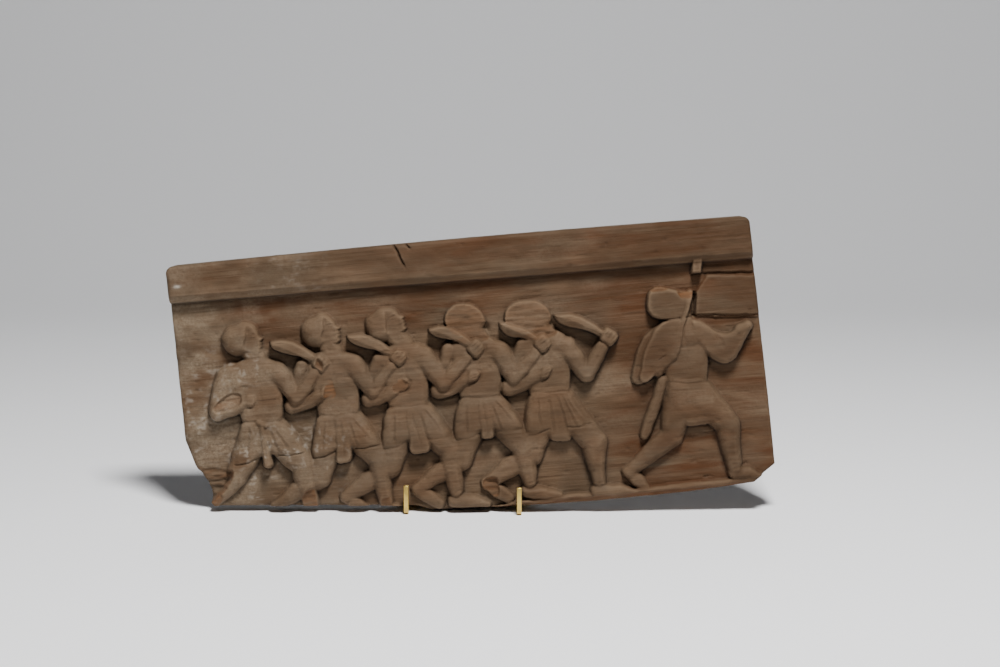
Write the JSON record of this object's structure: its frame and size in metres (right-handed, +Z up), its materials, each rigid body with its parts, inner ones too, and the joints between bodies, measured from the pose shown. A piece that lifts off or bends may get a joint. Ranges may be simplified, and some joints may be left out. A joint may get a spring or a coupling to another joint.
{
  "type": "carved relief panel",
  "caption": "Weathered wooden board carved in relief with kilted warriors on the march under a plain ledge, resting upright on a small brass display cradle.",
  "frame": {"origin": "on the surface the cradle stands on, under the middle of the object's box", "axes": "+X along the board from the first warrior to the last, +Y from the carved face to the back, +Z up"},
  "size_m": [0.418, 0.094, 0.2044],
  "materials": {
    "weathered_wood": "dry, weathered, dusty, with raw wood on the breaks",
    "brass": "satin"
  },
  "bodies": {
    "root": {"carved_panel": "weathered_wood", "left_hook": "brass", "right_hook": "brass", "back_bracket": "brass"}
  },
  "joints": []
}
